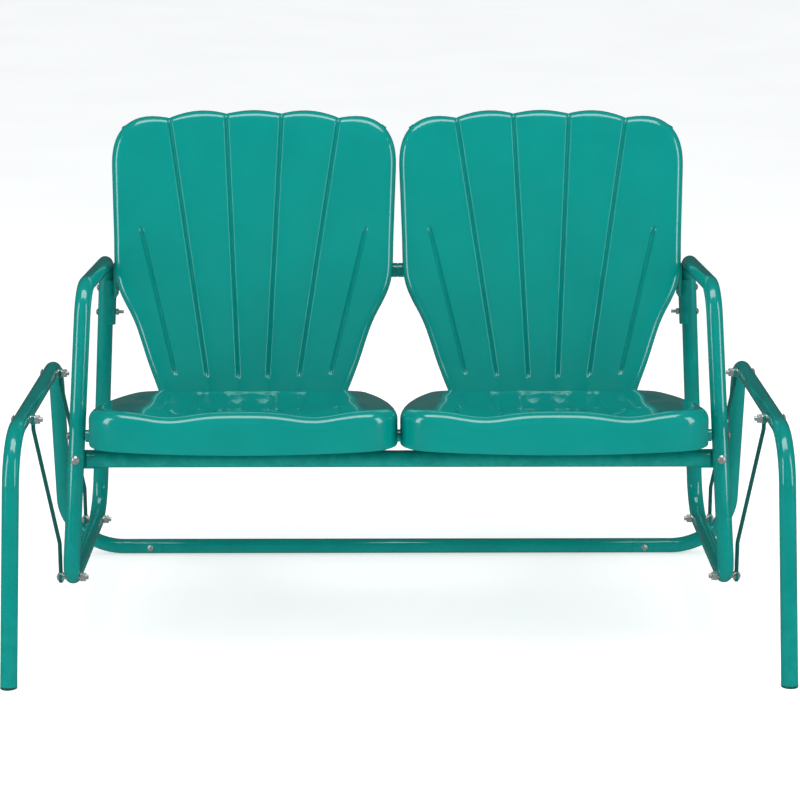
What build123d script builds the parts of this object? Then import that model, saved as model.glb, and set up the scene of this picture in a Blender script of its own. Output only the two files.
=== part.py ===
"""Two-seat patio glider: pressed-steel seats and backs on two tube arm frames that hang from a base.

Units are millimetres. +X runs to the right as seen from the front, +Y to the back, +Z up.
The origin is on the floor, midway between the sides and midway between the front feet and the rear bar.
"""
from build123d import *
import os
from math import atan2, cos, degrees, radians, sin

os.makedirs("parts", exist_ok=True)

# ---- driving dimensions -------------------------------------------------------------------------
TUBE_R = 14.0              # outer radius of the base and arm tubes
WALL = 1.5                 # wall of every tube
FIT = 0.05                 # radial running clearance of a pivot

FOOT_X, FOOT_Y = 641.5, -368.0          # middle of a front foot
RAIL_X, RAIL_Z = 634.0, 404.0           # height and side of the rail that carries the rods
RAIL_FRONT_Y, RAIL_REAR_Y = -292.0, 244.0
REAR_BAR_Y = 363.0                      # rear bar lies on the floor
BAR_JOINT_X = 457.0                     # where the side tube meets the middle of the rear bar
BAR_BOLT_X = 479.0
SPIGOT_LENGTH = 60.0

PIVOT_Y = {"front": -170.0, "rear": 172.0}
ROD_DROP = 278.0                        # upper pivot to lower pivot
PIVOT_UP_Z = RAIL_Z
PIVOT_LOW_Z = PIVOT_UP_Z - ROD_DROP
ROD_R = 3.4
EYE_R, EYE_T = 10.0, 5.0                # flattened eye at each end of a rod
BUSH_R, BOLT_R = 6.0, 4.0               # nylon bush in the eye, bolt through the bush

ARM_X, ARM_TILT = 559.0, 0.05           # arm frame's side position at the lower pivots, lean inwards per mm up
ARM_BOTTOM_Z = 122.0
ARM_CORNERS = {"front_low": (-186.0, ARM_BOTTOM_Z), "front_top": (-86.0, 613.0),
               "rear_top": (266.0, 593.0), "rear_low": (231.5, ARM_BOTTOM_Z)}
ARM_RADII = {"front_low": 35.0, "front_top": 58.0, "rear_top": 32.0, "rear_low": 70.0}

SEAT_X = 262.5                          # middle of each seat
SHEET = 2.0                             # pressed sheet, with its coats of paint
SEAT_PITCH = 7.3                        # seat slopes down to the back, degrees
SEAT_FRONT_Y, SEAT_FRONT_Z = -225.0, 430.5
SEAT_DEPTH = 351.0                      # front edge to rear edge, along the slope
SEAT_SKIRT_FRONT, SEAT_SKIRT_REAR = 68.0, 36.0
SEAT_DISH, SEAT_DISH_REACH = 14.0, 150.0        # depth and radius of the seat's hollow
BACK_RECLINE = 18.4
BACK_FOOT_Y, BACK_FOOT_Z = 130.0, 386.0
BACK_EDGE = 24.0                        # depth of the rolled edge
BACK_LAP = 18.0                         # how far the foot runs down behind the seat
BRACKET_X = (-75.0, 75.0)               # brackets stand this far either side of a seat's middle

LOWER_RAIL_R, LOWER_RAIL_Z = 14.5, 326.5
UPPER_RAIL_R, UPPER_RAIL_Z = 10.5, 366.5
BACK_RAIL_R, BACK_RAIL_Y, BACK_RAIL_Z = 13.0, 249.0, 580.0

SIDES = {"left": -1, "right": 1}


# ---- small builders -----------------------------------------------------------------------------
def save(node, *solids):
    """Write one node; several solids make a group of like pieces."""
    flat = [s for shape in solids for s in shape.solids()]
    shape = flat[0] if len(flat) == 1 else Compound(children=flat)
    export_step(shape, f"parts/{node}.step")


def tube(points, radii, outer=TUBE_R, wall=WALL):
    """Bent round tube along a filleted path."""
    path = FilletPolyline(*points, radius=radii) if radii else Line(*points)
    start = Plane(origin=path @ 0, z_dir=path % 0)
    section = start * (Circle(outer) - Circle(outer - wall))
    return sweep(section, path=path)


def rod_between(a, b, radius):
    """Solid round bar from a to b."""
    a, b = Vector(*a), Vector(*b)
    return Plane(origin=a, z_dir=b - a) * extrude(Circle(radius), (b - a).length)


def x_cylinder(x0, x1, y, z, radius):
    return rod_between((x0, y, z), (x1, y, z), radius)


def ring(start, direction, length, outer, inner):
    """Washer, bush or sleeve that starts at a point and runs along a direction."""
    plane = Plane(origin=start, z_dir=direction)
    return plane * extrude(Circle(outer) - Circle(inner), length)


def hex_piece(start, direction, length, across, bore=0.0):
    """Hexagon head or nut, across its flats."""
    outline = RegularPolygon(across / 2, 6, major_radius=False)
    if bore:
        outline = outline - Circle(bore)
    return Plane(origin=start, z_dir=direction) * extrude(outline, length)


def dome_head(start, direction, radius, height):
    """Round head of a bolt, with its flat face at start and its crown along direction."""
    crown = (radius ** 2 + height ** 2) / (2 * height)
    ball = Pos(0, 0, height - crown) * Sphere(crown)
    head = ball & (Pos(0, 0, height / 2) * Box(4 * radius, 4 * radius, height))
    return Plane(origin=start, z_dir=direction) * head


def bolt(head_face, direction, grip, radius, head_radius, head_height, tip):
    """Round-head bolt: the shank runs from the head's face along direction through the grip."""
    head_face, direction = Vector(*head_face), Vector(*direction).normalized()
    shank = rod_between(head_face, head_face + direction * (grip + tip), radius)
    return shank + dome_head(head_face, -direction, head_radius, head_height)


def arm_x(z):
    """Side position of the leaning arm frame at a height."""
    return ARM_X - ARM_TILT * (z - PIVOT_LOW_Z)


def arm_line_y(low, top, z):
    """Depth of a straight run of the arm frame at a height."""
    (y0, z0), (y1, z1) = ARM_CORNERS[low], ARM_CORNERS[top]
    return y0 + (y1 - y0) * (z - z0) / (z1 - z0)


def front_tube_y(z):
    return arm_line_y("front_low", "front_top", z)


def rear_post_y(z):
    return arm_line_y("rear_low", "rear_top", z)


# ---- base ---------------------------------------------------------------------------------------
def base_side(s):
    """One bent tube: front leg, rail, rear leg and the first stretch of the rear bar."""
    path = [(s * FOOT_X, FOOT_Y, 2.0), (s * RAIL_X, RAIL_FRONT_Y, RAIL_Z),
            (s * RAIL_X, RAIL_REAR_Y, RAIL_Z), (s * FOOT_X, REAR_BAR_Y, TUBE_R),
            (s * BAR_JOINT_X, REAR_BAR_Y, TUBE_R)]
    side = tube(path, [95.0, 65.0, 110.0])
    side -= Pos(s * FOOT_X, FOOT_Y, -18.0) * Box(60, 60, 40)
    for y in PIVOT_Y.values():
        side -= x_cylinder(s * (RAIL_X - 20), s * (RAIL_X + 20), y, PIVOT_UP_Z, BOLT_R)
    side -= rod_between((s * BAR_BOLT_X, REAR_BAR_Y - 20, TUBE_R),
                        (s * BAR_BOLT_X, REAR_BAR_Y + 20, TUBE_R), BOLT_R - 1)
    return side


def base():
    for name, s in SIDES.items():
        save(f"base_side_{name}", base_side(s))

    inner = TUBE_R - WALL
    bar = x_cylinder(-BAR_JOINT_X + 1, BAR_JOINT_X - 1, REAR_BAR_Y, TUBE_R, TUBE_R)
    reach = BAR_JOINT_X + SPIGOT_LENGTH
    bar += x_cylinder(-reach, reach, REAR_BAR_Y, TUBE_R, inner - 0.1)
    bar -= x_cylinder(-reach, reach, REAR_BAR_Y, TUBE_R, inner - 0.1 - WALL)
    for s in SIDES.values():
        bar -= rod_between((s * BAR_BOLT_X, REAR_BAR_Y - 20, TUBE_R),
                           (s * BAR_BOLT_X, REAR_BAR_Y + 20, TUBE_R), BOLT_R - 1)
    save("base_rear_bar", bar)

    bolts, nuts = [], []
    for s in SIDES.values():
        face = (s * BAR_BOLT_X, REAR_BAR_Y - TUBE_R, TUBE_R)
        bolts.append(bolt(face, (0, 1, 0), 2 * TUBE_R, BOLT_R - 1, 6.0, 3.5, 7.0))
        back = (s * BAR_BOLT_X, REAR_BAR_Y + TUBE_R, TUBE_R)
        nuts.append(hex_piece(back, (0, 1, 0), 5.0, 10.0, BOLT_R - 1))
    save("rear_bar_bolts", *bolts)
    save("rear_bar_nuts", *nuts)

    plugs = []
    for s in SIDES.values():
        flange = Pos(s * FOOT_X, FOOT_Y, 1.0) * Cylinder(TUBE_R, 2.0)
        leg = Vector(s * RAIL_X, RAIL_FRONT_Y, RAIL_Z) - Vector(s * FOOT_X, FOOT_Y, 2.0)
        foot = Vector(s * FOOT_X, FOOT_Y, 2.0)
        spigot = rod_between(foot - leg.normalized() * 6, foot + leg.normalized() * 22, inner - 0.2)
        spigot -= Pos(s * FOOT_X, FOOT_Y, -8.0) * Box(60, 60, 20)
        plugs.append(flange + spigot)
    save("front_foot_plugs", *plugs)


# ---- swing rods and their pivots ----------------------------------------------------------------
SPACER = 2.0                            # washer between a tube and an eye
NUT_WASHER = 1.2
WASHER_R = 7.8
LEAN_GAP = 0.6                          # keeps upright washers clear of the leaning arm tube
PLAY = 0.3                              # end play of an eye between its washers
UP_EYE_X = RAIL_X - TUBE_R - SPACER - EYE_T / 2
LOW_EYE_X = ARM_X + TUBE_R + LEAN_GAP + SPACER + EYE_T / 2


def swing_rod(s, y):
    """Round rod with a flattened, bushed eye at each end, cranked inwards below its upper eye."""
    up, low = (s * UP_EYE_X, y, PIVOT_UP_Z), (s * LOW_EYE_X, y, PIVOT_LOW_Z)
    points = [(up[0], y, up[2] - EYE_R + 2), (up[0], y, up[2] - 18), (low[0], y, low[2] + 60),
              (low[0], y, low[2] + EYE_R - 2)]
    path = FilletPolyline(*points, radius=[14.0, 24.0])
    rod = sweep(Plane(origin=path @ 0, z_dir=path % 0) * Circle(ROD_R), path=path)
    for x, _, z in (up, low):
        rod += x_cylinder(x - EYE_T / 2, x + EYE_T / 2, y, z, EYE_R)
    for x, _, z in (up, low):
        rod -= x_cylinder(x - EYE_T, x + EYE_T, y, z, BUSH_R)
    return rod


def rod_bushes(s, y):
    for x, z in ((UP_EYE_X, PIVOT_UP_Z), (LOW_EYE_X, PIVOT_LOW_Z)):
        yield ring((s * x - EYE_T / 2, y, z), (1, 0, 0), EYE_T, BUSH_R, BOLT_R + FIT)


def swing_rods():
    for end, y in PIVOT_Y.items():
        for name, s in SIDES.items():
            save(f"swing_rod_{end}_{name}", swing_rod(s, y))
            save(f"rod_bushes_{end}_{name}", *rod_bushes(s, y))


def pivot_hardware():
    """Bolts, washers and nuts of the eight pivots; heads are on the outside of the glider."""
    eye = EYE_T / 2
    levels = {  # height, spacer's inner face, head's face, nut's face
        "upper": (PIVOT_UP_Z, UP_EYE_X + eye, RAIL_X + TUBE_R, UP_EYE_X - eye - PLAY - NUT_WASHER),
        "lower": (PIVOT_LOW_Z, LOW_EYE_X - eye - SPACER, LOW_EYE_X + eye + PLAY,
                  ARM_X - TUBE_R - LEAN_GAP - NUT_WASHER)}
    for level, (z, spacer_x, head_x, nut_x) in levels.items():
        bolts, washers, nuts = [], [], []
        for s in SIDES.values():
            for y in PIVOT_Y.values():
                inward = (-s, 0, 0)
                bolts.append(bolt((s * head_x, y, z), inward, head_x - nut_x, BOLT_R, 8.0, 4.5, 12.0))
                outer_face = spacer_x + SPACER - PLAY / 2
                washers.append(ring((s * outer_face, y, z), inward, SPACER - PLAY, WASHER_R, BOLT_R))
                washers.append(ring((s * (nut_x + NUT_WASHER), y, z), inward, NUT_WASHER, WASHER_R, BOLT_R))
                nuts.append(hex_piece((s * nut_x, y, z), inward, 7.5, 13.0, BOLT_R))
        save(f"{level}_pivot_bolts", *bolts)
        save(f"{level}_pivot_washers", *washers)
        save(f"{level}_pivot_nuts", *nuts)


# ---- arm frames ---------------------------------------------------------------------------------
def arm_point(s, name):
    y, z = ARM_CORNERS[name]
    return (s * arm_x(z), y, z)


def arm_frame(s):
    """One closed loop of tube; its two ends meet in the bottom run, over a short inner sleeve."""
    x = s * arm_x(ARM_BOTTOM_Z)
    order = ["front_low", "front_top", "rear_top", "rear_low"]
    points = [(x, -0.5, ARM_BOTTOM_Z)] + [arm_point(s, n) for n in order] + [(x, 0.5, ARM_BOTTOM_Z)]
    loop = tube(points, [ARM_RADII[n] for n in order])
    for y in PIVOT_Y.values():
        loop -= x_cylinder(s * (ARM_X - 30), s * (ARM_X + 30), y, PIVOT_LOW_Z, BOLT_R)
    return loop


def arm_sleeve(s):
    x = s * arm_x(ARM_BOTTOM_Z)
    return rod_between((x, -45, ARM_BOTTOM_Z), (x, 45, ARM_BOTTOM_Z), TUBE_R - WALL - 0.1)


LOWER_TAB_T = 7.0
LOWER_BOLT_R = 4.0
FRONT_LEAN = atan2(ARM_CORNERS["front_top"][0] - ARM_CORNERS["front_low"][0],
                   ARM_CORNERS["front_top"][1] - ARM_CORNERS["front_low"][1])
THROUGH = Vector(0, cos(FRONT_LEAN), -sin(FRONT_LEAN))      # square to the front tube, to the back


def lower_rail_centre(s, out):
    """Point on the lower rail's bolt axis, a distance behind the front tube's centre line."""
    return Vector(s * arm_x(LOWER_RAIL_Z), front_tube_y(LOWER_RAIL_Z), LOWER_RAIL_Z) + THROUGH * out


def lower_rail():
    """Front cross tube whose flattened ends are bolted behind the arm frames' front tubes."""
    middle = lower_rail_centre(1, TUBE_R + 6.0)
    half = arm_x(LOWER_RAIL_Z) - TUBE_R - 3.0
    rail = x_cylinder(-half, half, middle.Y, middle.Z, LOWER_RAIL_R)
    rail -= x_cylinder(-half, half, middle.Y, middle.Z, LOWER_RAIL_R - WALL)
    for s in SIDES.values():
        centre = lower_rail_centre(s, TUBE_R + 0.3 + LOWER_TAB_T / 2)
        lean = Rot(-degrees(FRONT_LEAN), 0, 0)
        rail += Pos(centre.X - s * 15, centre.Y, centre.Z) * lean * Box(54, LOWER_TAB_T, 2 * LOWER_RAIL_R + 3)
        rail -= rod_between(lower_rail_centre(s, -30), lower_rail_centre(s, 40), LOWER_BOLT_R)
    return rail


def upper_rail():
    """Straight cross tube that stands between the arm frames' front tubes."""
    half = arm_x(UPPER_RAIL_Z) - TUBE_R - 1.0
    y = front_tube_y(UPPER_RAIL_Z)
    return x_cylinder(-half, half, y, UPPER_RAIL_Z, UPPER_RAIL_R) - x_cylinder(
        -half, half, y, UPPER_RAIL_Z, UPPER_RAIL_R - WALL)


SADDLE_LOW, SADDLE_HIGH = 478.0, 560.0
SADDLE_T = 5.0
SADDLE_BOLT_Z = (500.0, 545.0)
NECK_LOW = 532.0                        # foot of the plate that joins a saddle to the back rail
NECK_IN = TUBE_R + SADDLE_T - 4         # its outer face, inwards from the post's centre line
NECK_T = 5.0


def post_point(s, z, inset=0.0):
    return Vector(s * (arm_x(z) - inset), rear_post_y(z), z)


def post_bolt_holes(s):
    for z in SADDLE_BOLT_Z:
        yield x_cylinder(s * (arm_x(z) - 60), s * (arm_x(z) + 20), rear_post_y(z), z, 3.0)


def back_saddle(s):
    """Half-round plate that hugs the inner side of a rear post, with a neck up to the back rail."""
    low, high = post_point(s, SADDLE_LOW), post_point(s, SADDLE_HIGH)
    run = high - low
    sleeve = rod_between(low, high, TUBE_R + SADDLE_T)
    middle = (low + high) * 0.5
    sleeve &= Pos(middle.X - s * 33, middle.Y - 4, middle.Z) * Box(60, 40, 120)
    face = post_point(s, BACK_RAIL_Z, NECK_IN + NECK_T / 2)
    top = BACK_RAIL_Z + BACK_RAIL_R
    rear = face.Y + 8
    front = BACK_RAIL_Y - BACK_RAIL_R
    neck = Pos(face.X, (front + rear) / 2, (top + NECK_LOW) / 2) * Box(NECK_T, rear - front, top - NECK_LOW)
    saddle = sleeve + neck - rod_between(low - run, high + run * 0.6, TUBE_R + 0.2)
    for hole in post_bolt_holes(s):
        saddle -= hole
    return saddle


def back_rail(s):
    """Half of the cross tube behind the backs; its outer end is welded to the saddle's neck."""
    end = arm_x(BACK_RAIL_Z) - NECK_IN - NECK_T
    rail = x_cylinder(s * 0.4, s * end, BACK_RAIL_Y, BACK_RAIL_Z, BACK_RAIL_R)
    rail -= x_cylinder(s * 0.4, s * end, BACK_RAIL_Y, BACK_RAIL_Z, BACK_RAIL_R - WALL)
    for x in BRACKET_X:
        rail -= rod_between((s * SEAT_X + x, BACK_RAIL_Y, BACK_RAIL_Z - 20),
                            (s * SEAT_X + x, BACK_RAIL_Y, BACK_RAIL_Z + 20), 3.0)
    return rail


def arm_hardware():
    bolts, nuts = [], []
    for s in SIDES.values():
        face = lower_rail_centre(s, -TUBE_R - 0.1)
        tab_back = lower_rail_centre(s, TUBE_R + 0.3 + LOWER_TAB_T)
        bolts.append(bolt(face, THROUGH, (tab_back - face).length, LOWER_BOLT_R, 7.5, 4.0, 9.0))
        nuts.append(hex_piece(tab_back, THROUGH, 6.5, 13.0, LOWER_BOLT_R))
    save("lower_rail_bolts", *bolts)
    save("lower_rail_nuts", *nuts)

    y, z = front_tube_y(UPPER_RAIL_Z), UPPER_RAIL_Z
    inserts, bolts = [], []
    for s in SIDES.values():
        inserts.append(ring((s * (arm_x(z) - TUBE_R - 19), y, z), (s, 0, 0), 18, UPPER_RAIL_R - WALL, 3.0))
        face = (s * (arm_x(z) + TUBE_R + 0.4), y, z)
        bolts.append(bolt(face, (-s, 0, 0), 2 * TUBE_R + 16, 3.0, 6.5, 4.0, 0.0))
    save("upper_rail_inserts", *inserts)
    save("upper_rail_bolts", *bolts)

    bolts, nuts = [], []
    for s in SIDES.values():
        for z in SADDLE_BOLT_Z:
            neck_face = arm_x(z) - arm_x(BACK_RAIL_Z) + NECK_IN + NECK_T
            inner = (neck_face if z > NECK_LOW else TUBE_R + SADDLE_T) + 0.5
            face = post_point(s, z, -TUBE_R - 0.4)
            bolts.append(bolt(face, (-s, 0, 0), inner + TUBE_R + 0.4, 3.0, 6.0, 3.5, 14.0))
            nuts.append(hex_piece(post_point(s, z, inner), (-s, 0, 0), 5.0, 10.0, 3.0))
    save("saddle_bolts", *bolts)
    save("saddle_nuts", *nuts)


def arm_holes(s):
    """Bolt holes in one arm frame, apart from its lower pivots."""
    yield rod_between(lower_rail_centre(s, -30), lower_rail_centre(s, 30), LOWER_BOLT_R)
    z = UPPER_RAIL_Z
    yield x_cylinder(s * (arm_x(z) - 20), s * (arm_x(z) + 20), front_tube_y(z), z, 3.0)
    yield from post_bolt_holes(s)


def arms():
    for name, s in SIDES.items():
        frame = arm_frame(s)
        for hole in arm_holes(s):
            frame -= hole
        save(f"arm_frame_{name}", frame)
        save(f"arm_sleeve_{name}", arm_sleeve(s))
        save(f"back_saddle_{name}", back_saddle(s))
        save(f"back_rail_{name}", back_rail(s))
    save("back_rail_sleeve", x_cylinder(-60, 60, BACK_RAIL_Y, BACK_RAIL_Z, BACK_RAIL_R - WALL - 0.1))
    save("front_lower_rail", lower_rail())
    save("front_upper_rail", upper_rail() - seat_bolt_holes())
    arm_hardware()


# ---- seats and backs ----------------------------------------------------------------------------
def seat_outline():
    """D-shaped plan of a seat, in its own plane, with its front edge on the x axis."""
    front = ThreePointArc((-260, 14), (0, -16), (260, 14))
    right = ThreePointArc((260, 14), (243, 215), (202, SEAT_DEPTH))
    rear = Line((202, SEAT_DEPTH), (-202, SEAT_DEPTH))
    left = ThreePointArc((-202, SEAT_DEPTH), (-243, 215), (-260, 14))
    plan = make_face([front, right, rear, left])
    corners = plan.vertices().sort_by(Axis.Y)
    plan = fillet(corners[:2], 48)
    return fillet(plan.vertices().sort_by(Axis.Y)[-2:], 42)


def seat_plane(s):
    plane = Plane(origin=(s * SEAT_X, SEAT_FRONT_Y, SEAT_FRONT_Z))
    return plane.rotated((-SEAT_PITCH, 0, 0))


def skirt_cut():
    """Everything below the slanting lower edge of a seat's skirt, in the seat's own plane."""
    beyond = SEAT_DEPTH + 40
    profile = Polyline((-60, -SEAT_SKIRT_FRONT), (20, -SEAT_SKIRT_FRONT), (beyond, -SEAT_SKIRT_REAR),
                       (beyond, -200), (-60, -200), close=True)
    face = make_face(Plane.YZ * profile)
    return Pos(-400, 0, 0) * extrude(face, 800, dir=(1, 0, 0))


def seat_dish(below):
    """Large ball whose lowest cap is the seat's hollow, in the seat's own plane."""
    ball = (SEAT_DISH_REACH ** 2 + SEAT_DISH ** 2) / (2 * SEAT_DISH)
    return Pos(0, SEAT_DEPTH / 2, ball - SEAT_DISH) * Rot(90, 0, 0) * Sphere(ball + below)


def seat_pan(s):
    """Pressed, dished pan with a turned-down skirt; the upper front rail runs through slots in its sides."""
    solid = extrude(seat_outline(), -90)
    solid = fillet(solid.faces().sort_by(Axis.Z)[-1].edges(), 20) - seat_dish(0)
    pan = offset(solid, amount=-SHEET, openings=solid.faces().sort_by(Axis.Z)[0])
    pan = seat_plane(s) * (pan - skirt_cut())
    y, z = front_tube_y(UPPER_RAIL_Z), UPPER_RAIL_Z
    slot = UPPER_RAIL_R + 3
    pan -= x_cylinder(s * SEAT_X - 300, s * SEAT_X + 300, y, z, slot)
    pan -= Pos(s * SEAT_X, y, z - 40) * Box(600, 2 * slot, 80)
    return pan


def back_outline(inset=0.0):
    """Shell-shaped back: narrow foot, flared shoulders and a five-lobed top."""
    half = [Line((0, -BACK_LAP), (165, -BACK_LAP)), Line((165, -BACK_LAP), (208, 108)),
            Line((208, 108), (253, 200)),
            Line((253, 200), (260, 428)), ThreePointArc((260, 428), (242, 480), (188, 502)),
            ThreePointArc((188, 502), (171, 502.5), (155, 497)),
            ThreePointArc((155, 497), (103, 510), (51, 505)), ThreePointArc((51, 505), (25, 510), (0, 511.5))]
    other = [edge.mirror(Plane.YZ) for edge in half]
    shape = make_face(half + other)
    waist = [v for v in shape.vertices() if abs(v.Y - 108) < 1]
    shape = fillet(waist, 90)
    shoulder = [v for v in shape.vertices() if abs(v.Y - 200) < 1]
    shape = fillet(shoulder, 60)
    return offset(shape, amount=-inset) if inset else shape


def back_plane(s):
    tilt = radians(BACK_RECLINE)
    return Plane(origin=(s * SEAT_X, BACK_FOOT_Y, BACK_FOOT_Z), x_dir=(1, 0, 0),
                 z_dir=(0, -cos(tilt), sin(tilt)))


def back_shell(s):
    """Pressed back with its edge turned to the rear, except along its foot."""
    outer = extrude(back_outline(), -BACK_EDGE)
    inner = Pos(0, 0, -SHEET) * extrude(back_outline(SHEET), -BACK_EDGE)
    inner += Pos(0, -BACK_LAP, -SHEET - BACK_EDGE / 2) * Box(2 * 160, 4 * SHEET, BACK_EDGE)
    return back_plane(s) * (outer - inner)


def on_back(s, x, up, out=0.0):
    """Point on the rear of a back: across, up the slope, and out to the rear of its sheet."""
    plane = back_plane(s)
    return plane.from_local_coords((x, up, -SHEET - out))


def seat_bracket_points(s):
    """Where the brackets under one seat stand on the upper rail."""
    for x in BRACKET_X:
        yield Vector(s * SEAT_X + x, front_tube_y(UPPER_RAIL_Z), UPPER_RAIL_Z + UPPER_RAIL_R)


def seat_bolt_holes():
    points = [p for s in SIDES.values() for p in seat_bracket_points(s)]
    return Compound(children=[rod_between(p - Vector(0, 0, 30), p + Vector(0, 0, 10), 3.0) for p in points])


def seat_bracket(s, point):
    """Angle bracket: its foot is bolted on the upper rail, its web is welded under the pan."""
    web_y = point.Y + 16
    under = seat_plane(s).from_local_coords((0, (web_y - SEAT_FRONT_Y) / cos(radians(SEAT_PITCH)), -SHEET)).Z
    foot = Pos(point.X, point.Y + 2, point.Z + 2) * Box(32, 30, 4)
    web = Pos(point.X, web_y, (point.Z + under) / 2) * Box(32, 4, under - point.Z - 2)
    hole = rod_between(point - Vector(0, 0, 5), point + Vector(0, 0, 10), 3.0)
    return foot + web - hole - seat_plane(s) * seat_dish(SHEET + 0.2)


def back_bracket(s, x):
    """Flat bracket from the rear of a back to the top of the back rail."""
    top = BACK_RAIL_Z + BACK_RAIL_R
    sheet = on_back(s, x, (top + 2 - BACK_FOOT_Z) / cos(radians(BACK_RECLINE)))
    front, rear = sheet.Y + 1.0, BACK_RAIL_Y + 10
    plate = Pos(s * SEAT_X + x, (front + rear) / 2, top + 2) * Box(32, rear - front, 4)
    flange = Pos(s * SEAT_X + x, front + 1, top + 12) * Box(32, 4, 20)
    hole = rod_between((s * SEAT_X + x, BACK_RAIL_Y, top - 5), (s * SEAT_X + x, BACK_RAIL_Y, top + 10), 3.0)
    cut = back_plane(s) * Pos(0, 250, 40 - SHEET - 0.2) * Box(600, 600, 80)
    return plate + flange - hole - cut


def foot_bracket(s, x):
    """Bent strap behind the seat: its lower leg is welded to the rear skirt, its upper leg to the back."""
    skirt_leg = seat_plane(s) * Pos(x, SEAT_DEPTH + 2.1, -30) * Box(32, 4, 12)
    back_leg = back_plane(s) * Pos(x, -10, -SHEET - 2.1) * Box(32, 48, 4)
    return skirt_leg + back_leg


def seats_and_backs():
    top = BACK_RAIL_Z + BACK_RAIL_R
    for name, s in SIDES.items():
        save(f"seat_pan_{name}", seat_pan(s))
        save(f"back_shell_{name}", back_shell(s))
        points = list(seat_bracket_points(s))
        save(f"seat_brackets_{name}", *[seat_bracket(s, p) for p in points])
        save(f"back_brackets_{name}", *[back_bracket(s, x) for x in BRACKET_X])
        save(f"foot_brackets_{name}", *[foot_bracket(s, x) for x in BRACKET_X])
        bolts = [bolt(p + Vector(0, 0, 4), (0, 0, -1), 4 + 2 * UPPER_RAIL_R, 3.0, 5.5, 3.5, 6.0) for p in points]
        nuts = [hex_piece(p - Vector(0, 0, 2 * UPPER_RAIL_R), (0, 0, -1), 5.0, 10.0, 3.0) for p in points]
        for x in BRACKET_X:
            head = Vector(s * SEAT_X + x, BACK_RAIL_Y, top + 4)
            bolts.append(bolt(head, (0, 0, -1), 4 + 2 * BACK_RAIL_R, 3.0, 5.5, 3.5, 6.0))
            nuts.append(hex_piece(head - Vector(0, 0, 4 + 2 * BACK_RAIL_R), (0, 0, -1), 5.0, 10.0, 3.0))
        save(f"bracket_bolts_{name}", *bolts)
        save(f"bracket_nuts_{name}", *nuts)


base()
swing_rods()
pivot_hardware()
arms()
seats_and_backs()
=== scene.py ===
from math import cos, pi, radians, sin

import bpy
import numpy as np
from mathutils import Matrix, Vector


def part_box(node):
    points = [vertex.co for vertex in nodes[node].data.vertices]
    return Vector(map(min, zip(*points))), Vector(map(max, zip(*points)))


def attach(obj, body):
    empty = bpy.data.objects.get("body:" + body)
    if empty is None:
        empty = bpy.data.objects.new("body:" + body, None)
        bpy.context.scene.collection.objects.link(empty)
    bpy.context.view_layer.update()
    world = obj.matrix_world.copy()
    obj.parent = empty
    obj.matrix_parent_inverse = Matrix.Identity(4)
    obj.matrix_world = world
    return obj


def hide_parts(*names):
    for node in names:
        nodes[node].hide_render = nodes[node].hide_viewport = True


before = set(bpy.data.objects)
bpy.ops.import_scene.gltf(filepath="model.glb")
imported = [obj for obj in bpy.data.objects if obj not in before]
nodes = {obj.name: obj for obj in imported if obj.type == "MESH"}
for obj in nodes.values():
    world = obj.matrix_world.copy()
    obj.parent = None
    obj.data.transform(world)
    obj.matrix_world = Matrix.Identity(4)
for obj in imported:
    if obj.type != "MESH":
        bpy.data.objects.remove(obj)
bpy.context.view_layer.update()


# ---- Base: side tubes and rear floor bar --------------------------------------------------------
# Each side is one 28 mm mild steel tube, bent into front leg, rail, rear leg and the end of the
# floor bar; a middle tube plugs into both. All are powder coated: sprayed, then baked to a hard
# gloss with a fine orange peel, a little thinner on sharp edges, with dust lying on what faces up.
TUBE_TEAL = (0.0005, 0.240, 0.206, 1.0)
TUBE_DEEP = (0.0004, 0.216, 0.188, 1.0)
THIN_COAT = (0.008, 0.31, 0.27, 1.0)
DUST_GREY = (0.22, 0.34, 0.32, 1.0)


def put(tree, kind, settings=None, **inputs):
    """Add a shader node; inputs are numbers, colours or the sockets that feed them."""
    made = tree.nodes.new(kind)
    for name, value in (settings or {}).items():
        setattr(made, name, value)
    for name, value in inputs.items():
        socket = made.inputs[name.replace("_", " ")]
        if isinstance(value, bpy.types.NodeSocket):
            tree.links.new(value, socket)
        else:
            socket.default_value = value
    return made


def maths(tree, operation, first, second=0.0, clamp=False):
    """One sum on two numbers or sockets; gives its output socket."""
    made = put(tree, "ShaderNodeMath", {"operation": operation, "use_clamp": clamp})
    for socket, value in zip(made.inputs, (first, second)):
        if isinstance(value, bpy.types.NodeSocket):
            tree.links.new(value, socket)
        else:
            socket.default_value = value
    return made.outputs[0]


def remap(tree, value, low, high, out_low=0.0, out_high=1.0):
    """Spread a value between two limits, with soft ends."""
    made = put(tree, "ShaderNodeMapRange", {"interpolation_type": "SMOOTHSTEP"}, Value=value,
               From_Min=low, From_Max=high, To_Min=out_low, To_Max=out_high)
    return made.outputs["Result"]


def noise(tree, scale, detail=2.0, roughness=0.5, stretch=None):
    """Noise in the object's own space, whose scale is in cells per metre."""
    place = put(tree, "ShaderNodeTexCoord").outputs["Object"]
    if stretch:
        place = put(tree, "ShaderNodeMapping", Vector=place, Scale=stretch).outputs["Vector"]
    made = put(tree, "ShaderNodeTexNoise", Vector=place, Scale=scale, Detail=detail, Roughness=roughness)
    return made.outputs["Fac"]


def effect(name, inputs, outputs):
    """Empty node group with named sockets; gives its tree, the inputs and the output node."""
    tree = bpy.data.node_groups.new(name, "ShaderNodeTree")
    for label, kind, value in inputs:
        socket = tree.interface.new_socket(name=label, in_out="INPUT", socket_type=kind)
        socket.default_value = value
    for label, kind in outputs:
        tree.interface.new_socket(name=label, in_out="OUTPUT", socket_type=kind)
    return tree, tree.nodes.new("NodeGroupInput").outputs, tree.nodes.new("NodeGroupOutput").inputs


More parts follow.
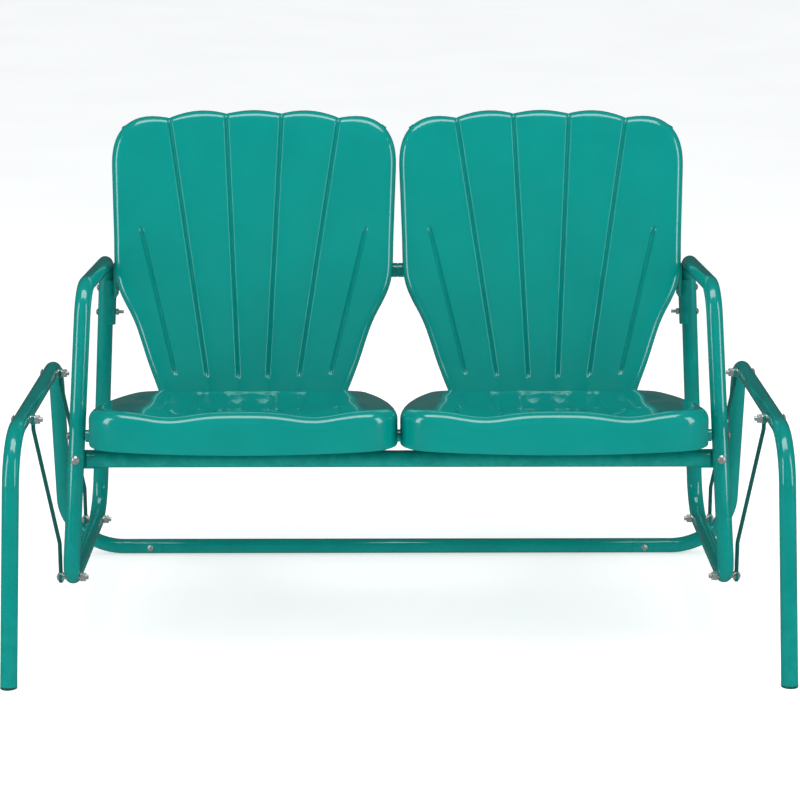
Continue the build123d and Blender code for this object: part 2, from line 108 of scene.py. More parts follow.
def mix_colours(tree, mask, below, above):
    made = put(tree, "ShaderNodeMix", {"data_type": "RGBA"})
    for socket, value in ((made.inputs[0], mask), (made.inputs[6], below), (made.inputs[7], above)):
        if isinstance(value, bpy.types.NodeSocket):
            tree.links.new(value, socket)
        else:
            socket.default_value = value
    return made.outputs[2]


FLOAT, COLOUR = "NodeSocketFloat", "NodeSocketColor"

# Orange peel: the pebbled skin of baked powder, over the slow ripple of the metal under it.
peel_tree, peel_in, peel_out = effect(
    "orange_peel", [("Pebbles", FLOAT, 420.0), ("Ripple", FLOAT, 14.0), ("Ripple Share", FLOAT, 0.5)],
    [("Height", FLOAT)])
pebbles = noise(peel_tree, peel_in["Pebbles"], 1.5, 0.45)
ripple = noise(peel_tree, peel_in["Ripple"], 1.0, 0.4)
height = put(peel_tree, "ShaderNodeMix", {"data_type": "FLOAT"}, Factor=peel_in["Ripple Share"])
peel_tree.links.new(pebbles, height.inputs[2])
peel_tree.links.new(ripple, height.inputs[3])
peel_tree.links.new(height.outputs[0], peel_out["Height"])

# Colour drift: powder lies a little thicker or thinner from place to place.
drift_tree, drift_in, drift_out = effect(
    "colour_drift", [("Paint", COLOUR, TUBE_TEAL), ("Deep", COLOUR, TUBE_DEEP), ("Size", FLOAT, 9.0)],
    [("Color", COLOUR)])
patches = remap(drift_tree, noise(drift_tree, drift_in["Size"], 3.0, 0.55), 0.35, 0.68)
drift = mix_colours(drift_tree, patches, drift_in["Paint"], drift_in["Deep"])
drift_tree.links.new(drift, drift_out["Color"])

# Edge wear: powder draws back from sharp edges, and hands and shoes polish them.
wear_tree, wear_in, wear_out = effect(
    "edge_wear", [("Start", FLOAT, 0.54), ("End", FLOAT, 0.64), ("Breakup", FLOAT, 55.0)],
    [("Mask", FLOAT)])
sharp = put(wear_tree, "ShaderNodeNewGeometry").outputs["Pointiness"]
edge = remap(wear_tree, sharp, wear_in["Start"], wear_in["End"])
broken = remap(wear_tree, noise(wear_tree, wear_in["Breakup"], 4.0, 0.6), 0.38, 0.62)
wear_tree.links.new(maths(wear_tree, "MULTIPLY", edge, broken), wear_out["Mask"])

# Settled dust: fine specks on faces that look upwards.
dust_tree, dust_in, dust_out = effect(
    "settled_dust", [("Amount", FLOAT, 0.1), ("Specks", FLOAT, 900.0)], [("Mask", FLOAT)])
facing = put(dust_tree, "ShaderNodeNewGeometry").outputs["Normal"]
upward = put(dust_tree, "ShaderNodeSeparateXYZ", Vector=facing).outputs["Z"]
level = remap(dust_tree, upward, 0.45, 0.95)
specks = remap(dust_tree, noise(dust_tree, dust_in["Specks"], 2.0, 0.6), 0.56, 0.70)
film = remap(dust_tree, noise(dust_tree, 26.0, 4.0, 0.6), 0.30, 0.80, 0.15, 0.55)
cover = maths(dust_tree, "MULTIPLY", maths(dust_tree, "ADD", specks, film), level)
dust_tree.links.new(maths(dust_tree, "MULTIPLY", cover, dust_in["Amount"], True), dust_out["Mask"])


def place_effect(tree, name, **inputs):
    return put(tree, "ShaderNodeGroup", {"node_tree": bpy.data.node_groups[name]}, **inputs)


def new_material(name):
    """Material with one Principled shader; gives the material, its tree and the shader."""
    material = bpy.data.materials.new(name)
    material.use_nodes = True
    return material, material.node_tree, material.node_tree.nodes["Principled BSDF"]


def powder_coat(name, paint, deep, pebble=420.0, ripple=14.0, relief=0.00012, dust=0.03):
    """Glossy baked powder on steel."""
    material, tree, shader = new_material(name)
    colour = place_effect(tree, "colour_drift", Paint=paint, Deep=deep).outputs["Color"]
    worn = place_effect(tree, "edge_wear").outputs["Mask"]
    dusty = place_effect(tree, "settled_dust", Amount=dust).outputs["Mask"]
    colour = mix_colours(tree, maths(tree, "MULTIPLY", worn, 0.45), colour, THIN_COAT)
    colour = mix_colours(tree, dusty, colour, DUST_GREY)
    haze = remap(tree, noise(tree, 38.0, 5.0, 0.6), 0.3, 0.75, 0.13, 0.19)
    rough = maths(tree, "ADD", haze, maths(tree, "MULTIPLY", dusty, 1.1), True)
    skin = place_effect(tree, "orange_peel", Pebbles=pebble, Ripple=ripple).outputs["Height"]
    bump = put(tree, "ShaderNodeBump", Height=skin, Strength=0.35, Distance=relief)
    tree.links.new(colour, shader.inputs["Base Color"])
    tree.links.new(rough, shader.inputs["Roughness"])
    tree.links.new(bump.outputs["Normal"], shader.inputs["Normal"])
    shader.inputs["IOR"].default_value = 1.5
    shader.inputs["Coat Weight"].default_value = 0.9
    shader.inputs["Coat Roughness"].default_value = 0.04
    return material


def finish_node(node, material):
    """Give a CAD piece its finish."""
    piece = nodes[node]
    piece.data.materials.clear()
    piece.data.materials.append(material)


tube_coat = powder_coat("tube_powder_coat", TUBE_TEAL, TUBE_DEEP)
for node in ("base_side_left", "base_side_right", "base_rear_bar"):
    finish_node(node, tube_coat)


# ---- Foot plugs ---------------------------------------------------------------------------------
# Moulded polyethylene plugs, pushed into the front legs, that stand on the floor. The mould leaves
# a fine spark-eroded grain.
PLUG_GREEN = (0.004, 0.085, 0.072, 1.0)
PLUG_SCUFF = (0.03, 0.15, 0.13, 1.0)

plug_plastic, tree, shader = new_material("plug_polyethylene")
scuffed = remap(tree, noise(tree, 120.0, 5.0, 0.65), 0.45, 0.75)
tree.links.new(mix_colours(tree, scuffed, PLUG_GREEN, PLUG_SCUFF), shader.inputs["Base Color"])
tree.links.new(remap(tree, noise(tree, 60.0, 3.0), 0.3, 0.7, 0.42, 0.6), shader.inputs["Roughness"])
grain = put(tree, "ShaderNodeBump", Height=noise(tree, 2200.0, 2.0), Strength=0.4, Distance=0.0001)
tree.links.new(grain.outputs["Normal"], shader.inputs["Normal"])
finish_node("front_foot_plugs", plug_plastic)


# ---- Bolts, nuts and washers --------------------------------------------------------------------
# Pressed and rolled steel fasteners, zinc plated and clear passivated: bright, faintly blue in
# places and yellow in others, with fine marks from the plating barrel and the spanner.
ZINC_COOL = (0.74, 0.77, 0.80, 1.0)
ZINC_WARM = (0.84, 0.81, 0.74, 1.0)
ZINC_MARK = (0.30, 0.30, 0.29, 1.0)

scratch_tree, scratch_in, scratch_out = effect(
    "barrel_marks", [("Density", FLOAT, 900.0)], [("Height", FLOAT), ("Mask", FLOAT)])
along = noise(scratch_tree, scratch_in["Density"], 3.0, 0.6, (1.0, 0.08, 0.12))
across = noise(scratch_tree, scratch_in["Density"], 3.0, 0.6, (0.1, 1.0, 0.9))
marks = maths(scratch_tree, "MAXIMUM", along, across)
scratch_tree.links.new(marks, scratch_out["Height"])
scratch_tree.links.new(remap(scratch_tree, marks, 0.60, 0.74), scratch_out["Mask"])

zinc_plate, tree, shader = new_material("zinc_plate")
tint = mix_colours(tree, remap(tree, noise(tree, 160.0, 3.0), 0.35, 0.65), ZINC_COOL, ZINC_WARM)
marks = place_effect(tree, "barrel_marks")
tint = mix_colours(tree, maths(tree, "MULTIPLY", marks.outputs["Mask"], 0.6), tint, ZINC_MARK)
tree.links.new(tint, shader.inputs["Base Color"])
tree.links.new(remap(tree, noise(tree, 240.0, 4.0), 0.3, 0.7, 0.22, 0.40), shader.inputs["Roughness"])
bump = put(tree, "ShaderNodeBump", Height=marks.outputs["Height"], Strength=0.3, Distance=0.00006)
tree.links.new(bump.outputs["Normal"], shader.inputs["Normal"])
shader.inputs["Metallic"].default_value = 0.8

for node in nodes:
    if node.endswith(("_bolts", "_nuts", "_washers")) or node.startswith(("bracket_bolts", "bracket_nuts")):
        finish_node(node, zinc_plate)


# ---- Swing rods and their bushes ----------------------------------------------------------------
# Four round bars with hot-flattened eyes, powder coated like the tubes but in a much darker colour,
# which is painted shade for rods that hang in shadow behind the arm frames. Plain nylon bushes are pressed
# into the eyes.
# Painted shade: the tube powder made much darker, for rods and brackets that sit in shadow.
PAINTED_SHADE_TEAL = (0.004, 0.085, 0.074, 1.0)
PAINTED_SHADE_DEEP = (0.003, 0.066, 0.058, 1.0)
NYLON = (0.78, 0.76, 0.69, 1.0)
NYLON_GREASE = (0.45, 0.42, 0.34, 1.0)

shaded_rod_coat = powder_coat("rod_powder_coat_painted_shade", PAINTED_SHADE_TEAL, PAINTED_SHADE_DEEP, 600.0, 24.0, 0.0001, 0.06)
bush_nylon, tree, shader = new_material("bush_nylon")
greasy = remap(tree, noise(tree, 90.0, 4.0), 0.5, 0.75)
tree.links.new(mix_colours(tree, greasy, NYLON, NYLON_GREASE), shader.inputs["Base Color"])
tree.links.new(remap(tree, noise(tree, 150.0), 0.3, 0.7, 0.32, 0.5), shader.inputs["Roughness"])
for end in ("front", "rear"):
    for side in ("left", "right"):
        finish_node(f"swing_rod_{end}_{side}", shaded_rod_coat)
        finish_node(f"rod_bushes_{end}_{side}", bush_nylon)


# ---- Arm frames, front rails, back rail and saddles ---------------------------------------------
# Two closed loops of the same 28 mm tube, joined by two front cross tubes and a two-piece rail
# behind the backs. Sleeves inside the joints are bare mill steel.
STEEL_GREY = (0.33, 0.33, 0.34, 1.0)
STEEL_SCALE = (0.14, 0.12, 0.11, 1.0)

for side in ("left", "right"):
    for part in ("arm_frame", "back_rail", "back_saddle"):
        finish_node(f"{part}_{side}", tube_coat)
finish_node("front_upper_rail", tube_coat)
finish_node("front_lower_rail", tube_coat)

mill_steel, tree, shader = new_material("mill_steel")
scale = remap(tree, noise(tree, 45.0, 5.0, 0.65), 0.42, 0.66)
tree.links.new(mix_colours(tree, scale, STEEL_GREY, STEEL_SCALE), shader.inputs["Base Color"])
tree.links.new(remap(tree, noise(tree, 200.0, 4.0), 0.3, 0.7, 0.35, 0.6), shader.inputs["Roughness"])
shader.inputs["Metallic"].default_value = 0.9
for node in ("arm_sleeve_left", "arm_sleeve_right", "back_rail_sleeve", "upper_rail_inserts"):
    finish_node(node, mill_steel)


# ---- Brackets -----------------------------------------------------------------------------------
# Cut and folded 4 mm steel strip, welded to the pressings and bolted to the rails. They are hidden
# from the front and get the rods' darker powder colour, painted shade for parts that sit in shadow.
shaded_bracket_coat = powder_coat("bracket_powder_coat_painted_shade", PAINTED_SHADE_TEAL, PAINTED_SHADE_DEEP, 420.0, 30.0, 0.0001, 0.05)
for node in nodes:
    if node.startswith(("seat_brackets", "back_brackets", "foot_brackets")):
        finish_node(node, shaded_bracket_coat)


# ---- Seat pans ----------------------------------------------------------------------------------
# Each seat is one deep-drawn sheet of 2 mm coated steel: a dished, fluted top with two hollows for
# the thighs, a rolled rim, and a skirt that is hemmed inwards. Slots let the upper rail through.
SHEET = 0.002
SHELL_TEAL = (0.0004, 0.248, 0.216, 1.0)
SHELL_DEEP = (0.0003, 0.232, 0.203, 1.0)
SEAT_ORIGIN_Y, SEAT_ORIGIN_Z = -0.225, 0.4305
SEAT_PITCH = radians(7.3)
SEAT_DEPTH = 0.351
SEAT_HALF = 0.260
SEAT_BOW = 0.030
SEAT_NOSE = -0.016
SEAT_ROLL = 0.020
SEAT_FRONT_CORNER, SEAT_REAR_CORNER = (0.070, 3.1), (0.060, 3.0)
SEAT_DISH, SEAT_DISH_REACH, SEAT_DISH_Y, SEAT_DISH_OVAL = 0.016, 0.195, 0.190, 1.05
SEAT_FLUTES = (0.042, 0.094, 0.148)
SEAT_FLUTE_HALF, SEAT_FLUTE_DEEP, SEAT_FLUTE_COLUMNS = 0.0075, 0.0030, 0.009
SEAT_FLUTE_START, SEAT_FLUTE_STOP = (0.085, 0.160), (0.315, 0.335)
CROWN_RISE, CROWN_PITCH = 0.0012, 0.0533
THIGH_X, THIGH_SINK, THIGH_SPREAD, THIGH_FADE = 0.122, 0.0095, 0.052, 0.75
DIMPLE_X, DIMPLE_Y, DIMPLE_DEEP = 0.023, 0.268, 0.0055
SKIRT_FRONT, SKIRT_RISE, SKIRT_BOW = 0.0665, 0.0305, 0.005
SKIRT_START, SKIRT_RUN = 0.020, 0.371
HEM = 0.0025
COLUMNS_OF_CREST, COLUMNS_OF_FLUTE, COLUMNS_OF_ROLL = 7, 10, 7


def smooth(value, low, high):
    """Soft step from 0 at low to 1 at high."""
    share = np.clip((value - low) / (high - low), 0.0, 1.0)
    return share * share * (3 - 2 * share)


def roll_steps(count):
    """Shares of a quarter turn's reach, closer together where it is steep."""
    return [1 - cos(pi / 2 * k / count) for k in range(count + 1)]


def lattice(half_width, low_edge, high_edge, flutes, flute_half, roll, low_corner, high_corner, rows=90):
    """Plan of a pressing as a lattice of points whose columns follow its flutes.

    half_width(y) is the side's outline, low_edge(x) and high_edge(x) its two ends; flutes are x(y).
    low_corner and high_corner are each a corner's reach and power; a reach of 0 keeps it square.
    Gives x and y, columns by rows.
    """
    tall = high_edge(0.0) - low_edge(0.0)
    edge = np.array(roll_steps(COLUMNS_OF_ROLL)) * roll
    inner = np.linspace(roll, tall - roll, rows)
    along = np.concatenate([edge[:-1], inner, tall - edge[::-1][1:]]) / tall

    def across(y):
        """Half a row: x of each column at depth y, from the middle to the side."""
        knots, counts = [np.zeros_like(y)], []
        for line in flutes:
            knots += [line(y) - flute_half, line(y) + flute_half]
            counts += [COLUMNS_OF_CREST, COLUMNS_OF_FLUTE]
        wide = half_width(y)
        knots.append(np.maximum(wide - roll, knots[-1] + 0.002))
        counts.append(COLUMNS_OF_CREST)
        columns = [knots[0]]
        for start, stop, count in zip(knots, knots[1:], counts):
            columns += [start + (stop - start) * (k + 1) / count for k in range(count)]
        columns += [wide - roll * share for share in roll_steps(COLUMNS_OF_ROLL)[::-1][1:]]
        return np.array(columns)

    y = np.repeat((low_edge(0.0) + along * tall)[None, :], len(across(np.zeros(1))), axis=0)
    x = np.zeros_like(y)
    for _ in range(6):
        for row in range(y.shape[1]):
            values = across(y[:, row])
            x[:, row] = values[np.arange(len(values)), np.arange(len(values))]
        y = low_edge(x) + along[None, :] * (high_edge(x) - low_edge(x))
    x = np.concatenate([-x[:0:-1], x])
    y = np.concatenate([y[:0:-1], y])

    for edge, sign, (reach, power) in ((low_edge(x), -1, low_corner), (high_edge(x), 1, high_corner)):
        if not reach:
            continue
        near_x, near_y = half_width(y) - reach, edge - sign * reach
        a, b = (np.abs(x) - near_x) / reach, sign * (y - near_y) / reach
        inside = (a > 0) & (b > 0)
        a, b = np.clip(a, 1e-6, None), np.clip(b, 1e-6, None)
        most = np.maximum(a, b)
        pull = 1 - (1 - most / (a ** power + b ** power) ** (1 / power)) * most ** 4
        x = np.where(inside, np.sign(x) * (near_x + a * reach * pull), x)
        y = np.where(inside, near_y + sign * b * reach * pull, y)
    return x, y


def rim_order(columns, rows):
    """Index pairs of a lattice's outer points, anticlockwise from its low left corner."""
    low = [(i, 0) for i in range(columns - 1)]
    right = [(columns - 1, j) for j in range(rows - 1)]
    high = [(i, rows - 1) for i in range(columns - 1, 0, -1)]
    left = [(0, j) for j in range(rows - 1, 0, -1)]
    return low + right + high + left


def edge_distance(x, y, rim, closed=True):
    """How far each lattice point is from the outline, or from the part of it that rim follows."""
    start = np.array([(x[i, j], y[i, j]) for i, j in rim])
    run = np.roll(start, -1, axis=0) - start
    if not closed:
        start, run = start[:-1], run[:-1]
    length = np.maximum((run ** 2).sum(1), 1e-12)
    points = np.stack([x.ravel(), y.ravel()], axis=1)
    nearest = np.full(len(points), 1e9)
    for origin, step, size in zip(start, run, length):
        share = np.clip(((points - origin) @ step) / size, 0, 1)
        gap = points - origin - share[:, None] * step
        nearest = np.minimum(nearest, (gap ** 2).sum(1))
    return np.sqrt(nearest).reshape(x.shape)


def rolled(distance, radius):
    """Drop of a rolled rim at a distance from the outline."""
    near = np.clip(distance, 0, radius)
    return np.sqrt(np.maximum(2 * radius * near - near ** 2, 0)) - radius


def pressing(name, x, y, z, rim, skirt_foot, place, material):
    """Sheet pressing: the lattice, its skirt down to skirt_foot(x, y) and an inward hem."""
    columns, rows = x.shape
    points = [(x[i, j], y[i, j], z[i, j]) for i in range(columns) for j in range(rows)]
    faces = [(i * rows + j, (i + 1) * rows + j, (i + 1) * rows + j + 1, i * rows + j + 1)
             for i in range(columns - 1) for j in range(rows - 1)]
    loop = np.array([(x[i, j], y[i, j]) for i, j in rim])
    top = np.array([z[i, j] for i, j in rim])
    ahead = np.roll(loop, -1, axis=0) - np.roll(loop, 1, axis=0)
    ahead /= np.linalg.norm(ahead, axis=1)[:, None]
    inward = np.stack([-ahead[:, 1], ahead[:, 0]], axis=1)
    foot = np.minimum(skirt_foot(loop[:, 0], loop[:, 1]), top - HEM) + HEM
    steps = [(loop, top + (foot - top) * k / 5) for k in range(1, 6)]
    for k in range(1, 5):
        turn = pi / 2 * k / 4
        steps.append((loop + inward * HEM * (1 - cos(turn)), foot - HEM * sin(turn)))
    above = [i * rows + j for i, j in rim]
    for ring, level in steps:
        first = len(points)
        points += [(px, py, pz) for (px, py), pz in zip(ring, level)]
        below = list(range(first, first + len(rim)))
        faces += [(above[k], below[k], below[(k + 1) % len(rim)], above[(k + 1) % len(rim)])
                  for k in range(len(rim))]
        above = below
    mesh = bpy.data.meshes.new(f"{name}_skin")
    mesh.from_pydata(points, [], faces)
    mesh.transform(place)
    piece = bpy.data.objects.new(name, mesh)
    bpy.context.scene.collection.objects.link(piece)
    skin = piece.modifiers.new("sheet", "SOLIDIFY")
    skin.thickness = SHEET
    skin.offset = -1
    solid = bpy.data.meshes.new_from_object(piece.evaluated_get(bpy.context.evaluated_depsgraph_get()))
    piece.modifiers.clear()
    piece.data = solid
    solid.shade_smooth()
    solid.set_sharp_from_angle(angle=radians(50))
    solid.materials.append(material)
    return piece


def seat_half_width(y):
    run = y - 0.014
    return SEAT_HALF + 0.045 * run - 0.644 * run ** 2


def seat_front(x):
    return SEAT_NOSE + SEAT_BOW * (x / SEAT_HALF) ** 2


def seat_rear(x):
    return SEAT_DEPTH + 0.0 * x


def seat_height(x, y, distance):
    """Top of the seat: dish, thigh hollows, flutes and two small dimples, above a rolled rim."""
    inside = smooth(distance, 0.004, 0.040)
    reach = np.hypot(x, (y - SEAT_DISH_Y) * SEAT_DISH_OVAL) / SEAT_DISH_REACH
    dish = SEAT_DISH * np.clip(1 - reach ** 2, 0, 1) ** 1.5
    thighs = np.exp(-((np.abs(x) - THIGH_X) / THIGH_SPREAD) ** 2)
    sink = THIGH_SINK * thighs * (1 - THIGH_FADE * smooth(y, 0.01, 0.16))
    along = smooth(y, *SEAT_FLUTE_START) * (1 - smooth(y, *SEAT_FLUTE_STOP))
    flutes = np.zeros_like(x)
    for line in SEAT_FLUTES:
        offset = np.abs(np.abs(x) - line) / SEAT_FLUTE_HALF
        flutes += SEAT_FLUTE_DEEP * np.clip(1 - offset ** 2, 0, 1) ** 1.5 * along
    waves = np.cos(np.clip(np.abs(x) / CROWN_PITCH, 0, 3.3) * 2 * pi - 0.2)
    crowns = CROWN_RISE * waves * smooth(y, 0.09, 0.2)
    dimples = DIMPLE_DEEP * np.exp(-((np.abs(x) - DIMPLE_X) / 0.011) ** 2 - ((y - DIMPLE_Y) / 0.014) ** 2)
    return rolled(distance, SEAT_ROLL) - sink + (-dish - flutes + crowns - dimples) * inside


RAIL_SLOT_R = 0.0135
rail_low, rail_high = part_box("front_upper_rail")
rail_y, rail_z = (rail_low.y + rail_high.y) / 2, (rail_low.z + rail_high.z) / 2
slot_y = (rail_y - SEAT_ORIGIN_Y) * cos(SEAT_PITCH) - (rail_z - SEAT_ORIGIN_Z) * sin(SEAT_PITCH)
slot_z = (rail_y - SEAT_ORIGIN_Y) * sin(SEAT_PITCH) + (rail_z - SEAT_ORIGIN_Z) * cos(SEAT_PITCH)


def seat_skirt(x, y):
    """Lower edge of the skirt, raised where the upper rail passes through it."""
    bow = SKIRT_BOW * np.clip(1 - (x / SEAT_HALF) ** 2, 0, 1) * (y < 0.1)
    plain = -SKIRT_FRONT - bow + SKIRT_RISE * np.clip((y - SKIRT_START) / SKIRT_RUN, 0, 1)
    over = np.sqrt(np.maximum(RAIL_SLOT_R ** 2 - (y - slot_y) ** 2, 0))
    arch = slot_z + over
    beside = (np.abs(y - slot_y) < RAIL_SLOT_R) & (np.abs(x) > 0.2)
    return np.where(beside, np.maximum(plain, arch), plain)


shell_coat = powder_coat("shell_powder_coat", SHELL_TEAL, SHELL_DEEP, 380.0, 5.0, 0.00014, 0.02)
seat_x, seat_y = lattice(seat_half_width, seat_front, seat_rear,
                         [lambda y, line=line: line + 0.0 * y for line in SEAT_FLUTES],
                         SEAT_FLUTE_COLUMNS, SEAT_ROLL, SEAT_FRONT_CORNER, SEAT_REAR_CORNER)
seat_rim = rim_order(*seat_x.shape)
seat_z = seat_height(seat_x, seat_y, edge_distance(seat_x, seat_y, seat_rim))


def seat_place(side):
    """Where a seat's own plane stands: its front edge on the x axis, sloping down to the rear."""
    low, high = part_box(f"seat_pan_{side}")
    origin = Matrix.Translation(((low.x + high.x) / 2, SEAT_ORIGIN_Y, SEAT_ORIGIN_Z))
    return origin @ Matrix.Rotation(-SEAT_PITCH, 4, "X")


for side in ("left", "right"):
    pan = pressing(f"pressed_seat_{side}", seat_x, seat_y, seat_z, seat_rim, seat_skirt,
                   seat_place(side), shell_coat)
    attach(pan, "seat_frame")
    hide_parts(f"seat_pan_{side}")


# ---- Brackets under the seats -------------------------------------------------------------------
# Folded angles from the upper front rail to each pan. The web of each is cut to the dished sheet
# above it and welded there, so its top edge follows the seat's hollow.
WELD_GAP = 0.0004
FAR_FROM_RIM = 0.1

for side in ("left", "right"):
    place = seat_place(side)
    strips = nodes[f"seat_brackets_{side}"].data.copy()
    strips.transform(place.inverted() @ nodes[f"seat_brackets_{side}"].matrix_world)
    for corner in strips.vertices:
        across, along = np.array([corner.co.x]), np.array([corner.co.y])
        under = seat_height(across, along, np.array([FAR_FROM_RIM]))[0] - SHEET
        corner.co.z = min(corner.co.z, under - WELD_GAP)
    strips.transform(place)
    strips.materials.clear()
    strips.materials.append(shaded_bracket_coat)
    brackets = bpy.data.objects.new(f"seat_bracket_strips_{side}", strips)
    bpy.context.scene.collection.objects.link(brackets)
    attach(brackets, "seat_frame")
    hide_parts(f"seat_brackets_{side}")


# ---- Backs --------------------------------------------------------------------------------------
# Each back is one sheet pressed like a scallop shell: narrow at the foot, broad at the shoulders,
# with five flutes that fan upwards, a lobed top and an edge rolled to the rear.
BACK_ORIGIN_Y, BACK_ORIGIN_Z = 0.130, 0.386
BACK_RECLINE = radians(18.4)
BACK_DEPTH = 0.024
BACK_ROLL = 0.013
BACK_LAP = 0.018
BACK_TOP_CORNER = (0.105, 2.86)
SIDE_LINE = ((-0.02, 0.166), (0.0, 0.173), (0.026, 0.183), (0.053, 0.193), (0.090, 0.2045),
             (0.126, 0.217), (0.150, 0.230), (0.170, 0.241), (0.190, 0.2485), (0.208, 0.2525),
             (0.235, 0.254), (0.272, 0.2545), (0.419, 0.260), (0.540, 0.2605))
SIDE_AT, SIDE_HALF = zip(*SIDE_LINE)
LOBE_X = (0.0, 0.051, 0.155, 0.222)
FLUTE_HALF = 0.0045
FLUTE_DEEP = 0.0045
BACK_CROWN = 0.0030


def back_half_width(s):
    wide = np.interp(s, SIDE_AT, SIDE_HALF)
    for shift in (0.008, 0.016):
        wide = wide + np.interp(s - shift, SIDE_AT, SIDE_HALF) + np.interp(s + shift, SIDE_AT, SIDE_HALF)
    return wide / 5


def back_foot(x):
    return -BACK_LAP + 0.0 * x


def back_top(x):
    """Lobed top: five arches that meet in cusps."""
    x = np.abs(x)
    centre = 0.505 + 0.0065 * np.cos(np.clip(x / LOBE_X[1], 0, 1) * pi / 2)
    share = np.clip((x - LOBE_X[1]) / (LOBE_X[2] - LOBE_X[1]), 0, 1)
    second = 0.505 - 0.008 * share + 0.0095 * np.sin(share * pi) ** 0.85
    outer = np.clip((x - LOBE_X[2]) / (LOBE_X[3] - LOBE_X[2]), 0, 1)
    third = 0.497 + 0.0065 * np.sin(outer * pi / 2) ** 0.85
    return np.where(x < LOBE_X[1], centre, np.where(x < LOBE_X[2], second, third))


def flute_line(foot_x, foot_s, head_x, head_s):
    """Straight line of a flute up the back; gives x at s."""
    return lambda s: foot_x + (head_x - foot_x) * (s - foot_s) / (head_s - foot_s)


BACK_FLUTES = [(flute_line(0.027, 0.024, 0.051, 0.505), 0.022, 0.60),
               (flute_line(0.084, 0.024, 0.155, 0.497), 0.024, 0.60),
               (flute_line(0.140, 0.022, 0.204, 0.290), 0.026, 0.292)]


def back_height(x, s, distance):
    """Front of the back: rounded flutes between narrow creases, above a rolled edge."""
    lines = [np.zeros_like(x)] + [line(s) for line, _, _ in BACK_FLUTES[:2]] + [back_half_width(s)]
    wide = np.abs(x)
    crown = np.zeros_like(x)
    for k, (near, far) in enumerate(zip(lines, lines[1:])):
        start = -far if k == 0 else near
        share = (wide - start) / (far - start)
        arch = 1 - (2 * share - 1) ** 2
        crown = np.where((wide >= near) & (wide < far), BACK_CROWN * np.clip(arch, 0, 1), crown)
    creases = np.zeros_like(x)
    for line, low, high in BACK_FLUTES:
        gap = np.abs(wide - line(s)) / FLUTE_HALF
        ends = smooth(s, low - 0.006, low + 0.006) * (1 - smooth(s, high - 0.008, high + 0.004))
        creases += FLUTE_DEEP * np.clip(1 - gap ** 2, 0, 1) ** 1.25 * ends
    inside = smooth(distance, 0.0, 0.022)
    return rolled(distance, BACK_ROLL) + crown * inside - creases * smooth(distance, -0.004, 0.010)


def back_skirt(x, s):
    """Rear of the turned edge; it runs out towards the flat foot."""
    return -SHEET - (BACK_DEPTH - SHEET) * smooth(s, -BACK_LAP + 0.002, -BACK_LAP + 0.032)


back_x, back_s = lattice(back_half_width, back_foot, back_top,
                         [line for line, _, _ in BACK_FLUTES], FLUTE_HALF + 0.001,
                         BACK_ROLL, (0.0, 1.0), BACK_TOP_CORNER, 120)
back_rim = rim_order(*back_x.shape)
back_open_rim = [(i, j) for i, j in back_rim if j > 0]
back_z = back_height(back_x, back_s, edge_distance(back_x, back_s, back_open_rim, False))
for side in ("left", "right"):
    low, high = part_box(f"back_shell_{side}")
    place = Matrix.Translation(((low.x + high.x) / 2, BACK_ORIGIN_Y, BACK_ORIGIN_Z))
    place = place @ Matrix.Rotation(pi / 2 - BACK_RECLINE, 4, "X")
    back = pressing(f"pressed_back_{side}", back_x, back_s, back_z, back_rim, back_skirt, place, shell_coat)
    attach(back, "seat_frame")
    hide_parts(f"back_shell_{side}")


# ---- Studio -------------------------------------------------------------------------------------
# A plain pale floor, a white surround and large soft lamps: one over the piece, one at each side
# and a broad one in front. The camera stands at adult eye height, straight in front.
CAMERA_PLACE = (-0.020, -4.004, 1.383)
CAMERA_PITCH, CAMERA_TURN = 13.86, -0.327
CAMERA_LENS = 105.75
FLOOR_PALE = (0.80, 0.81, 0.81, 1.0)
FLOOR_SHADE = (0.76, 0.77, 0.77, 1.0)
FLOOR_GLOW = 0.50
FLOOR_MIRRORED = (0.06, 0.08, 0.08, 1.0)

camera_data = bpy.data.cameras.new("front_camera")
camera_data.sensor_width = 36.0
camera_data.lens = CAMERA_LENS
camera = bpy.data.objects.new("front_camera", camera_data)
camera.location = CAMERA_PLACE
camera.rotation_euler = (radians(90 - CAMERA_PITCH), 0, radians(CAMERA_TURN))
bpy.context.scene.collection.objects.link(camera)
bpy.context.scene.camera = camera

floor_mesh = bpy.data.meshes.new("floor")
floor_mesh.from_pydata([(-60, -20, 0), (60, -20, 0), (60, 140, 0), (-60, 140, 0)], [], [(0, 1, 2, 3)])
floor_paint, tree, shader = new_material("floor_paint")
mottle = remap(tree, noise(tree, 1.2, 3.0), 0.3, 0.7)
tree.links.new(mix_colours(tree, mottle, FLOOR_PALE, FLOOR_SHADE), shader.inputs["Base Color"])
shader.inputs["Roughness"].default_value = 0.8
shader.inputs["Emission Color"].default_value = (1.0, 1.0, 1.0, 1.0)
shader.inputs["Emission Strength"].default_value = FLOOR_GLOW
mirrored = put(tree, "ShaderNodeEmission", Color=FLOOR_MIRRORED, Strength=1.0).outputs[0]
floor_mix = put(tree, "ShaderNodeMixShader", Fac=put(tree, "ShaderNodeLightPath").outputs["Is Glossy Ray"])
tree.links.new(shader.outputs[0], floor_mix.inputs[1])
tree.links.new(mirrored, floor_mix.inputs[2])
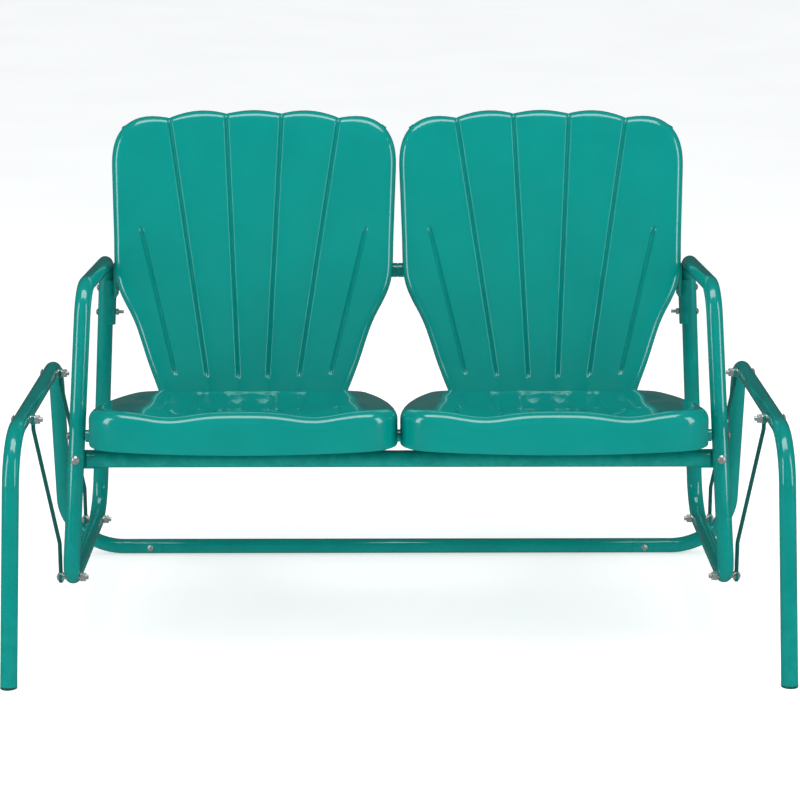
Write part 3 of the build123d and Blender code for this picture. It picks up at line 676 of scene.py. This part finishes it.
tree.links.new(floor_mix.outputs[0], tree.nodes["Material Output"].inputs["Surface"])
floor_mesh.materials.append(floor_paint)
floor = bpy.data.objects.new("floor", floor_mesh)
bpy.context.scene.collection.objects.link(floor)

AIM = Vector((0, 0, 0.45))
LAMPS = {  # place, width, height, power, seen in reflections
    "lamp_left": ((-3.0, -1.6, 1.6), 0.9, 2.4, 26, True),
    "lamp_right": ((3.0, -1.6, 1.6), 0.9, 2.4, 26, True),
    "lamp_over": ((0, -0.6, 3.2), 3.0, 1.2, 42, True),
    "lamp_front": ((0, -5.6, 2.6), 3.6, 1.8, 60, False)}
for name, (where, wide, tall, power, glossy) in LAMPS.items():
    lamp_data = bpy.data.lights.new(name, "AREA")
    lamp_data.shape = "RECTANGLE"
    lamp_data.size, lamp_data.size_y = wide, tall
    lamp_data.energy = power
    lamp = bpy.data.objects.new(name, lamp_data)
    lamp.location = where
    lamp.rotation_euler = (AIM - Vector(where)).to_track_quat("-Z", "Y").to_euler()
    lamp.visible_glossy = glossy
    bpy.context.scene.collection.objects.link(lamp)

world = bpy.data.worlds.new("white_surround")
world.use_nodes = True
bpy.context.scene.world = world
tree = world.node_tree
tree.nodes.clear()
rays = put(tree, "ShaderNodeLightPath").outputs
surround = put(tree, "ShaderNodeBackground", Color=(1, 1, 1, 1), Strength=1.0).outputs[0]
soft = put(tree, "ShaderNodeBackground", Color=(0.95, 0.98, 1.0, 1), Strength=0.62).outputs[0]
dim = put(tree, "ShaderNodeBackground", Color=(0.6, 0.95, 1.0, 1), Strength=0.05).outputs[0]
lit = put(tree, "ShaderNodeMixShader", Fac=rays["Is Glossy Ray"])
both = put(tree, "ShaderNodeMixShader", Fac=rays["Is Camera Ray"])
for mix, first, second in ((lit, soft, dim), (both, lit.outputs[0], surround)):
    tree.links.new(first, mix.inputs[1])
    tree.links.new(second, mix.inputs[2])
tree.links.new(both.outputs[0], put(tree, "ShaderNodeOutputWorld").inputs["Surface"])
bpy.context.scene.view_settings.view_transform = "Standard"
